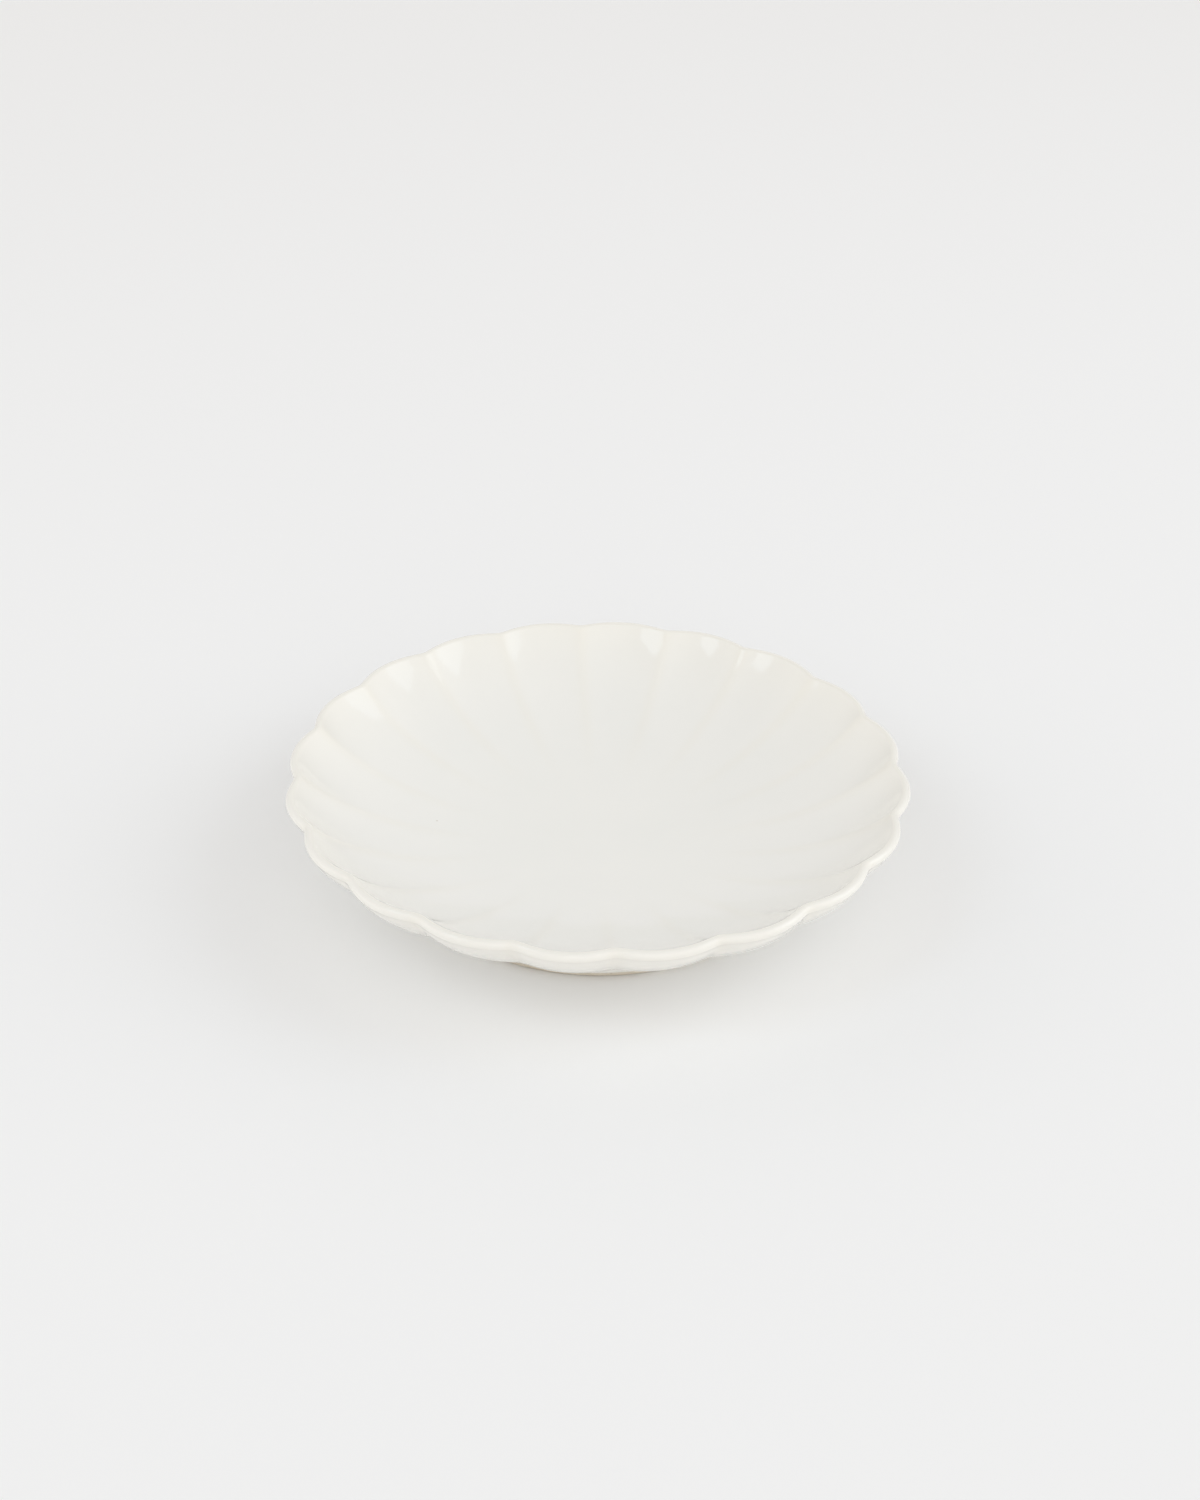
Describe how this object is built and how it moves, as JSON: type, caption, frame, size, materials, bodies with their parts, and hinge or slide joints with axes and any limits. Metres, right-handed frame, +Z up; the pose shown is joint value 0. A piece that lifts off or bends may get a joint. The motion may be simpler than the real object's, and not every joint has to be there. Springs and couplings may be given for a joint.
{
  "type": "scalloped dessert plate",
  "caption": "Shallow round plate with a scalloped rim, fluted petals, rounded lip and foot ring, for serving a dessert.",
  "frame": {"origin": "centre of the foot ring, on the table", "axes": "+Z up along the plate's axis, +X through the tip of a lobe"},
  "size_m": [0.16, 0.16, 0.0293],
  "materials": {
    "clay": "fired clay, covered by the glaze",
    "foot_clay": "fired clay, left bare where the plate stands",
    "glaze": "glossy ivory white glaze, thinner and warmer on ridges and lip",
    "well_glaze": "glossy ivory white glaze"
  },
  "bodies": {
    "root": {"dish_body": "clay", "foot_ring": "foot_clay", "glaze_coat": "glaze", "foot_well_glaze": "well_glaze"}
  },
  "joints": []
}
